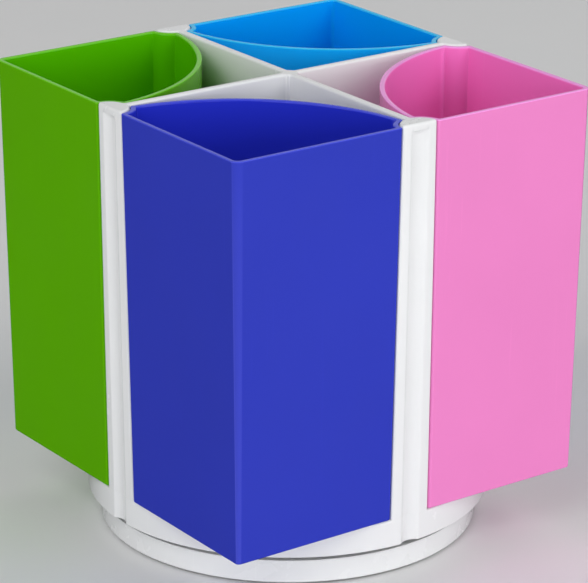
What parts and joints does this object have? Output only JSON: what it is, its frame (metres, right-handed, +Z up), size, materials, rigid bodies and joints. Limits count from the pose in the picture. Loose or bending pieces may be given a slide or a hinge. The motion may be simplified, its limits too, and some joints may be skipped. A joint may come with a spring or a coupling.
{
  "type": "rotating desk organizer",
  "caption": "Square carousel of lift-out pots around a white finned tower that spins on a round ball-bearing base.",
  "frame": {"origin": "middle of the footprint on the surface the feet stand on", "axes": "+Z up along the axis the tower turns about; the fins lie along X and Y and each pot fills one quadrant"},
  "size_m": [0.14, 0.14, 0.1545],
  "materials": {
    "white_shell": "glossy white moulding",
    "white_base": "glossy white moulding",
    "light_blue_pot": "glossy",
    "green_pot": "glossy",
    "dark_blue_pot": "glossy",
    "pink_pot": "glossy",
    "ball_steel": "polished bearing balls",
    "screw_steel": "zinc plated",
    "retainer_nylon": "natural nylon",
    "foot_rubber": "matt"
  },
  "bodies": {
    "base": {"base": "white_base", "foot_1": "foot_rubber", "foot_2": "foot_rubber", "foot_3": "foot_rubber", "foot_4": "foot_rubber", "pivot_screw": "screw_steel", "pivot_washer": "screw_steel"},
    "ball_set": {"ball_retainer": "retainer_nylon", "ball_01": "ball_steel", "ball_02": "ball_steel", "ball_03": "ball_steel", "ball_04": "ball_steel", "ball_05": "ball_steel", "ball_06": "ball_steel", "ball_07": "ball_steel", "ball_08": "ball_steel", "ball_09": "ball_steel", "ball_10": "ball_steel", "ball_11": "ball_steel", "ball_12": "ball_steel"},
    "tower": {"tower": "white_shell"},
    "pot_light_blue": {"cup_light_blue": "light_blue_pot"},
    "pot_green": {"cup_green": "green_pot"},
    "pot_dark_blue": {"cup_dark_blue": "dark_blue_pot"},
    "pot_pink": {"cup_pink": "pink_pot"}
  },
  "joints": [
    {"name": "turntable_spin", "type": "hinge", "parent": "base", "child": "tower", "pos_m": [0, 0, 0.014], "axis": [0, 0, 1], "continuous": true},
    {"name": "retainer_spin", "type": "hinge", "parent": "base", "child": "ball_set", "pos_m": [0, 0, 0.014], "axis": [0, 0, 1], "continuous": true},
    {"name": "lift_light_blue", "type": "slide", "parent": "tower", "child": "pot_light_blue", "axis": [0, 0, 1], "range_m": [0, 0.14]},
    {"name": "lift_green", "type": "slide", "parent": "tower", "child": "pot_green", "axis": [0, 0, 1], "range_m": [0, 0.14]},
    {"name": "lift_dark_blue", "type": "slide", "parent": "tower", "child": "pot_dark_blue", "axis": [0, 0, 1], "range_m": [0, 0.14]},
    {"name": "lift_pink", "type": "slide", "parent": "tower", "child": "pot_pink", "axis": [0, 0, 1], "range_m": [0, 0.14]}
  ],
  "couplings": [
    {"joint": "retainer_spin", "follows": "turntable_spin", "ratio": 0.5}
  ]
}
